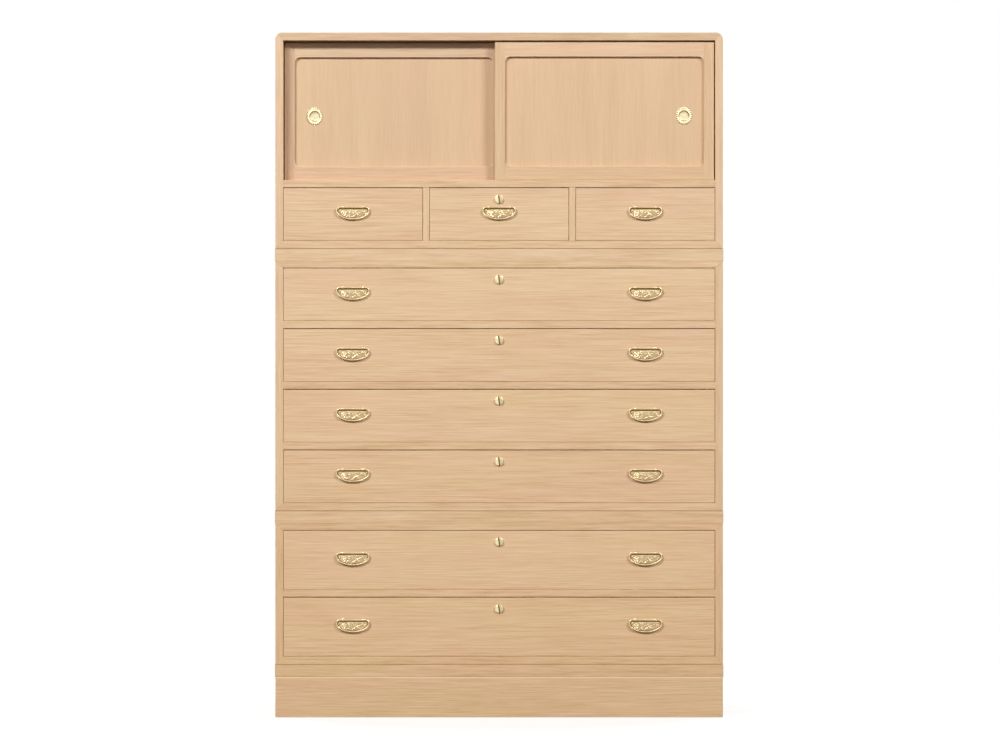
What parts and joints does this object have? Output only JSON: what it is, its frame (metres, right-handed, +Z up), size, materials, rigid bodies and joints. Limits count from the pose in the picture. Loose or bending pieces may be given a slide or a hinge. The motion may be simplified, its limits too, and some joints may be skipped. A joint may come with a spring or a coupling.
{
  "type": "clothing chest",
  "caption": "Stacked clothing chest of pale wood with sliding doors, locking drawers and brass bail handles.",
  "frame": {"origin": "on the floor under the middle of the chest", "axes": "+Z up, the front with its handles looks along -Y, +X is to the right seen from the front"},
  "size_m": [1.042, 0.4573, 1.591],
  "materials": {
    "case_wood": "oiled, fine straight grain",
    "drawer_wood": "oiled, fine straight grain",
    "panel_wood": "oiled, upright grain",
    "brass": "pale, polished edges, chased plates"
  },
  "bodies": {
    "case": {"upper_case_sides": "case_wood", "middle_case_sides": "case_wood", "lower_case_sides": "case_wood", "upper_case_top": "case_wood", "case_tops": "case_wood", "case_bottoms": "case_wood", "cupboard_floor": "case_wood", "drawer_dividers": "case_wood", "drawer_shelves": "case_wood", "back_panels": "case_wood", "case_bands": "case_wood", "plinth_frame": "case_wood", "plinth_braces": "case_wood", "stacking_pegs": "case_wood"},
    "door_right": {"door_right_frame": "case_wood", "door_right_panel": "panel_wood", "door_right_pull": "brass"},
    "door_left": {"door_left_frame": "case_wood", "door_left_panel": "panel_wood", "door_left_pull": "brass"},
    "small_drawer_1": {"small_drawer_1": "drawer_wood", "small_drawer_1_fittings": "brass"},
    "small_drawer_1_bail_1": {"small_drawer_1_bail_1": "brass"},
    "small_drawer_2": {"small_drawer_2": "drawer_wood", "small_drawer_2_fittings": "brass"},
    "small_drawer_2_bail_1": {"small_drawer_2_bail_1": "brass"},
    "small_drawer_2_lock_bolt": {"small_drawer_2_lock_bolt": "brass"},
    "small_drawer_3": {"small_drawer_3": "drawer_wood", "small_drawer_3_fittings": "brass"},
    "small_drawer_3_bail_1": {"small_drawer_3_bail_1": "brass"},
    "long_drawer_1": {"long_drawer_1": "drawer_wood", "long_drawer_1_fittings": "brass"},
    "long_drawer_1_bail_1": {"long_drawer_1_bail_1": "brass"},
    "long_drawer_1_bail_2": {"long_drawer_1_bail_2": "brass"},
    "long_drawer_1_lock_bolt": {"long_drawer_1_lock_bolt": "brass"},
    "long_drawer_2": {"long_drawer_2": "drawer_wood", "long_drawer_2_fittings": "brass"},
    "long_drawer_2_bail_1": {"long_drawer_2_bail_1": "brass"},
    "long_drawer_2_bail_2": {"long_drawer_2_bail_2": "brass"},
    "long_drawer_2_lock_bolt": {"long_drawer_2_lock_bolt": "brass"},
    "long_drawer_3": {"long_drawer_3": "drawer_wood", "long_drawer_3_fittings": "brass"},
    "long_drawer_3_bail_1": {"long_drawer_3_bail_1": "brass"},
    "long_drawer_3_bail_2": {"long_drawer_3_bail_2": "brass"},
    "long_drawer_3_lock_bolt": {"long_drawer_3_lock_bolt": "brass"},
    "long_drawer_4": {"long_drawer_4": "drawer_wood", "long_drawer_4_fittings": "brass"},
    "long_drawer_4_bail_1": {"long_drawer_4_bail_1": "brass"},
    "long_drawer_4_bail_2": {"long_drawer_4_bail_2": "brass"},
    "long_drawer_4_lock_bolt": {"long_drawer_4_lock_bolt": "brass"},
    "deep_drawer_1": {"deep_drawer_1": "drawer_wood", "deep_drawer_1_fittings": "brass"},
    "deep_drawer_1_bail_1": {"deep_drawer_1_bail_1": "brass"},
    "deep_drawer_1_bail_2": {"deep_drawer_1_bail_2": "brass"},
    "deep_drawer_1_lock_bolt": {"deep_drawer_1_lock_bolt": "brass"},
    "deep_drawer_2": {"deep_drawer_2": "drawer_wood", "deep_drawer_2_fittings": "brass"},
    "deep_drawer_2_bail_1": {"deep_drawer_2_bail_1": "brass"},
    "deep_drawer_2_bail_2": {"deep_drawer_2_bail_2": "brass"},
    "deep_drawer_2_lock_bolt": {"deep_drawer_2_lock_bolt": "brass"}
  },
  "joints": [
    {"name": "door_right_slide", "type": "slide", "parent": "case", "child": "door_right", "axis": [-1, 0, 0], "range_m": [-0.0017, 0.4915]},
    {"name": "door_left_slide", "type": "slide", "parent": "case", "child": "door_left", "axis": [1, 0, 0], "range_m": [-0.0017, 0.4915]},
    {"name": "small_drawer_1_slide", "type": "slide", "parent": "case", "child": "small_drawer_1", "axis": [0, -1, 0], "range_m": [0, 0.36]},
    {"name": "small_drawer_1_bail_1_swing", "type": "hinge", "parent": "small_drawer_1", "child": "small_drawer_1_bail_1", "pos_m": [-0.33967, -0.2293, 1.1853], "axis": [-1, 0, 0], "range_deg": [0, 170]},
    {"name": "small_drawer_2_slide", "type": "slide", "parent": "case", "child": "small_drawer_2", "axis": [0, -1, 0], "range_m": [0, 0.36]},
    {"name": "small_drawer_2_bail_1_swing", "type": "hinge", "parent": "small_drawer_2", "child": "small_drawer_2_bail_1", "pos_m": [0, -0.2293, 1.1853], "axis": [-1, 0, 0], "range_deg": [0, 170]},
    {"name": "small_drawer_2_lock_bolt_slide", "type": "slide", "parent": "small_drawer_2", "child": "small_drawer_2_lock_bolt", "axis": [0, 0, 1], "range_m": [0, 0.0075]},
    {"name": "small_drawer_3_slide", "type": "slide", "parent": "case", "child": "small_drawer_3", "axis": [0, -1, 0], "range_m": [0, 0.36]},
    {"name": "small_drawer_3_bail_1_swing", "type": "hinge", "parent": "small_drawer_3", "child": "small_drawer_3_bail_1", "pos_m": [0.33967, -0.2293, 1.1853], "axis": [-1, 0, 0], "range_deg": [0, 170]},
    {"name": "long_drawer_1_slide", "type": "slide", "parent": "case", "child": "long_drawer_1", "axis": [0, -1, 0], "range_m": [0, 0.36]},
    {"name": "long_drawer_1_bail_1_swing", "type": "hinge", "parent": "long_drawer_1", "child": "long_drawer_1_bail_1", "pos_m": [-0.34, -0.2293, 0.9988], "axis": [-1, 0, 0], "range_deg": [0, 170]},
    {"name": "long_drawer_1_bail_2_swing", "type": "hinge", "parent": "long_drawer_1", "child": "long_drawer_1_bail_2", "pos_m": [0.34, -0.2293, 0.9988], "axis": [-1, 0, 0], "range_deg": [0, 170]},
    {"name": "long_drawer_1_lock_bolt_slide", "type": "slide", "parent": "long_drawer_1", "child": "long_drawer_1_lock_bolt", "axis": [0, 0, 1], "range_m": [0, 0.0075]},
    {"name": "long_drawer_2_slide", "type": "slide", "parent": "case", "child": "long_drawer_2", "axis": [0, -1, 0], "range_m": [0, 0.36]},
    {"name": "long_drawer_2_bail_1_swing", "type": "hinge", "parent": "long_drawer_2", "child": "long_drawer_2_bail_1", "pos_m": [-0.34, -0.2293, 0.8578], "axis": [-1, 0, 0], "range_deg": [0, 170]},
    {"name": "long_drawer_2_bail_2_swing", "type": "hinge", "parent": "long_drawer_2", "child": "long_drawer_2_bail_2", "pos_m": [0.34, -0.2293, 0.8578], "axis": [-1, 0, 0], "range_deg": [0, 170]},
    {"name": "long_drawer_2_lock_bolt_slide", "type": "slide", "parent": "long_drawer_2", "child": "long_drawer_2_lock_bolt", "axis": [0, 0, 1], "range_m": [0, 0.0075]},
    {"name": "long_drawer_3_slide", "type": "slide", "parent": "case", "child": "long_drawer_3", "axis": [0, -1, 0], "range_m": [0, 0.36]},
    {"name": "long_drawer_3_bail_1_swing", "type": "hinge", "parent": "long_drawer_3", "child": "long_drawer_3_bail_1", "pos_m": [-0.34, -0.2293, 0.7168], "axis": [-1, 0, 0], "range_deg": [0, 170]},
    {"name": "long_drawer_3_bail_2_swing", "type": "hinge", "parent": "long_drawer_3", "child": "long_drawer_3_bail_2", "pos_m": [0.34, -0.2293, 0.7168], "axis": [-1, 0, 0], "range_deg": [0, 170]},
    {"name": "long_drawer_3_lock_bolt_slide", "type": "slide", "parent": "long_drawer_3", "child": "long_drawer_3_lock_bolt", "axis": [0, 0, 1], "range_m": [0, 0.0075]},
    {"name": "long_drawer_4_slide", "type": "slide", "parent": "case", "child": "long_drawer_4", "axis": [0, -1, 0], "range_m": [0, 0.36]},
    {"name": "long_drawer_4_bail_1_swing", "type": "hinge", "parent": "long_drawer_4", "child": "long_drawer_4_bail_1", "pos_m": [-0.34, -0.2293, 0.5758], "axis": [-1, 0, 0], "range_deg": [0, 170]},
    {"name": "long_drawer_4_bail_2_swing", "type": "hinge", "parent": "long_drawer_4", "child": "long_drawer_4_bail_2", "pos_m": [0.34, -0.2293, 0.5758], "axis": [-1, 0, 0], "range_deg": [0, 170]},
    {"name": "long_drawer_4_lock_bolt_slide", "type": "slide", "parent": "long_drawer_4", "child": "long_drawer_4_lock_bolt", "axis": [0, 0, 1], "range_m": [0, 0.0075]},
    {"name": "deep_drawer_1_slide", "type": "slide", "parent": "case", "child": "deep_drawer_1", "axis": [0, -1, 0], "range_m": [0, 0.36]},
    {"name": "deep_drawer_1_bail_1_swing", "type": "hinge", "parent": "deep_drawer_1", "child": "deep_drawer_1_bail_1", "pos_m": [-0.34, -0.2293, 0.38205], "axis": [-1, 0, 0], "range_deg": [0, 170]},
    {"name": "deep_drawer_1_bail_2_swing", "type": "hinge", "parent": "deep_drawer_1", "child": "deep_drawer_1_bail_2", "pos_m": [0.34, -0.2293, 0.38205], "axis": [-1, 0, 0], "range_deg": [0, 170]},
    {"name": "deep_drawer_1_lock_bolt_slide", "type": "slide", "parent": "deep_drawer_1", "child": "deep_drawer_1_lock_bolt", "axis": [0, 0, 1], "range_m": [0, 0.0075]},
    {"name": "deep_drawer_2_slide", "type": "slide", "parent": "case", "child": "deep_drawer_2", "axis": [0, -1, 0], "range_m": [0, 0.36]},
    {"name": "deep_drawer_2_bail_1_swing", "type": "hinge", "parent": "deep_drawer_2", "child": "deep_drawer_2_bail_1", "pos_m": [-0.34, -0.2293, 0.22655], "axis": [-1, 0, 0], "range_deg": [0, 170]},
    {"name": "deep_drawer_2_bail_2_swing", "type": "hinge", "parent": "deep_drawer_2", "child": "deep_drawer_2_bail_2", "pos_m": [0.34, -0.2293, 0.22655], "axis": [-1, 0, 0], "range_deg": [0, 170]},
    {"name": "deep_drawer_2_lock_bolt_slide", "type": "slide", "parent": "deep_drawer_2", "child": "deep_drawer_2_lock_bolt", "axis": [0, 0, 1], "range_m": [0, 0.0075]}
  ]
}
